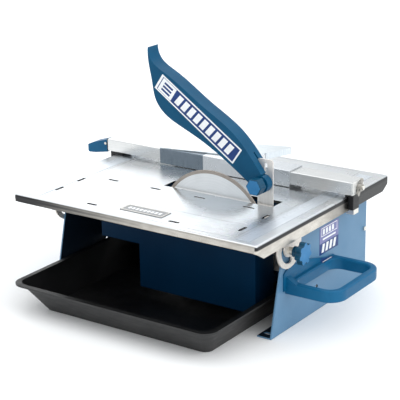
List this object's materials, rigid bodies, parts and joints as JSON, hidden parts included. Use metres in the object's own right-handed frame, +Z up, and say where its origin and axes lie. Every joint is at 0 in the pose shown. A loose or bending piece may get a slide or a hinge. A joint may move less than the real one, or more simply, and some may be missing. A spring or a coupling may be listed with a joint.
{
  "type": "wet tile cutter",
  "caption": "Table-top wet tile cutter: steel table with fence and mitre guide over a diamond blade, raised blue guard, blue end plates, carry handle and black water tray.",
  "frame": {"origin": "on the ground, midway between the four slots of the two foot flanges", "axes": "+X along the blade's cutting line towards the carry handle, +Y from the operator to the fence, +Z up"},
  "size_m": [0.53, 0.41, 0.358],
  "materials": {
    "galvanised_sheet": "bright galvanised sheet, semi-mirror",
    "dark_sheet": "darker rolled steel sheet",
    "fence_aluminium": "satin extruded box section",
    "scale_metal": "satin strip with printed graduations",
    "badge_grey": "grey plate, blank",
    "blue_paint": "smooth semi-gloss powder coat",
    "blue_plastic": "moulded, softly glossy",
    "guard_blue": "moulded, softly glossy",
    "stripe_print": "printed panel with a pale border, no lettering",
    "label_print": "printed label with plain bars, no lettering",
    "black_plastic": "moulded, fine grain",
    "rocker_red": "moulded",
    "zinc_steel": "bright zinc plate",
    "knife_steel": "ground steel",
    "blade_steel": "bright satin disc",
    "diamond_grit": "sintered tan grit",
    "motor_iron": "cast and rolled, painted dark",
    "copper_winding": "enamelled copper"
  },
  "bodies": {
    "frame": {"right_end_plate": "blue_paint", "left_end_plate": "blue_paint", "hinge_pins": "zinc_steel", "splash_panel": "blue_paint", "motor_bulkhead": "blue_paint", "rear_cross_member": "blue_paint", "frame_screws": "zinc_steel", "carry_handle": "blue_plastic", "handle_screws": "zinc_steel", "rating_label": "label_print", "motor_front_bell": "motor_iron", "motor_rear_bell": "motor_iron", "motor_housing": "motor_iron", "stator_core": "motor_iron", "stator_windings": "copper_winding", "motor_bearings": "zinc_steel", "fan_cover": "black_plastic", "motor_bolts": "zinc_steel", "run_capacitor": "black_plastic", "riving_knife": "knife_steel", "knife_bracket": "zinc_steel", "knife_bolts": "zinc_steel", "guard_pivot_bolt": "zinc_steel", "switch_box": "black_plastic", "cable_gland": "black_plastic"},
    "rotor": {"rotor_shaft": "zinc_steel", "rotor_core": "motor_iron", "cooling_fan": "black_plastic", "blade_core": "blade_steel", "diamond_rim": "diamond_grit", "inner_flange": "zinc_steel", "outer_flange": "zinc_steel", "arbor_nut": "zinc_steel"},
    "guard": {"guard_shell": "guard_blue", "guard_stripe": "stripe_print"},
    "guard_knob": {"guard_knob": "blue_plastic"},
    "table": {"table_top": "galvanised_sheet", "table_badge": "badge_grey", "scale_strips": "scale_metal", "right_tilt_bracket": "galvanised_sheet", "left_tilt_bracket": "galvanised_sheet", "tilt_studs": "zinc_steel"},
    "right_tilt_knob": {"right_tilt_knob": "blue_plastic"},
    "left_tilt_knob": {"left_tilt_knob": "blue_plastic"},
    "fence": {"fence_rail": "fence_aluminium", "right_fence_hook": "black_plastic", "left_fence_hook": "black_plastic", "fence_clamp_foot": "zinc_steel", "fence_end_caps": "black_plastic", "fence_clamp_rod": "zinc_steel"},
    "fence_lever": {"fence_lever": "blue_plastic"},
    "wing_nut": {"wing_nut": "zinc_steel"},
    "mitre_guide": {"mitre_saddle": "galvanised_sheet", "mitre_stop": "dark_sheet", "guide_pivot": "zinc_steel"},
    "protractor": {"protractor_plate": "galvanised_sheet"},
    "water_tray": {"water_tray": "black_plastic"},
    "switch_rocker": {"switch_rocker": "rocker_red"}
  },
  "joints": [
    {"name": "blade_spin", "type": "hinge", "parent": "frame", "child": "rotor", "pos_m": [0.0364, 0, 0.1], "axis": [0, 1, 0], "continuous": true},
    {"name": "guard_lift", "type": "hinge", "parent": "frame", "child": "guard", "pos_m": [0.124, -0.032, 0.188], "axis": [0, 1, 0], "range_deg": [-35, 20]},
    {"name": "guard_knob_turn", "type": "hinge", "parent": "frame", "child": "guard_knob", "pos_m": [0.124, -0.053, 0.188], "axis": [0, 1, 0], "continuous": true},
    {"name": "table_tilt", "type": "hinge", "parent": "frame", "child": "table", "pos_m": [0, -0.048, 0.147], "axis": [1, 0, 0], "range_deg": [0, 45]},
    {"name": "right_tilt_knob_turn", "type": "hinge", "parent": "table", "child": "right_tilt_knob", "pos_m": [0.213, -0.079, 0.117], "axis": [1, 0, 0], "continuous": true},
    {"name": "left_tilt_knob_turn", "type": "hinge", "parent": "table", "child": "left_tilt_knob", "pos_m": [-0.213, -0.079, 0.117], "axis": [1, 0, 0], "continuous": true},
    {"name": "fence_slide", "type": "slide", "parent": "table", "child": "fence", "axis": [0, 1, 0], "range_m": [-0.04, 0.08]},
    {"name": "fence_lever_lift", "type": "hinge", "parent": "fence", "child": "fence_lever", "pos_m": [-0.226, 0.068, 0.1695], "axis": [0, 1, 0], "range_deg": [0, 60]},
    {"name": "wing_nut_turn", "type": "hinge", "parent": "fence", "child": "wing_nut", "pos_m": [0.218, 0.068, 0.1695], "axis": [1, 0, 0], "continuous": true},
    {"name": "mitre_slide", "type": "slide", "parent": "fence", "child": "mitre_guide", "axis": [1, 0, 0], "range_m": [-0.08, 0.08]},
    {"name": "protractor_turn", "type": "hinge", "parent": "mitre_guide", "child": "protractor", "pos_m": [0, 0.068, 0.181], "axis": [0, 0, 1], "range_deg": [-15, 30]},
    {"name": "tray_slide", "type": "slide", "parent": "frame", "child": "water_tray", "axis": [0, -1, 0], "range_m": [-0.06, 0.06]},
    {"name": "switch_press", "type": "hinge", "parent": "frame", "child": "switch_rocker", "pos_m": [-0.211, 0.052, 0.088], "axis": [0, 1, 0], "range_deg": [0, 14]}
  ]
}
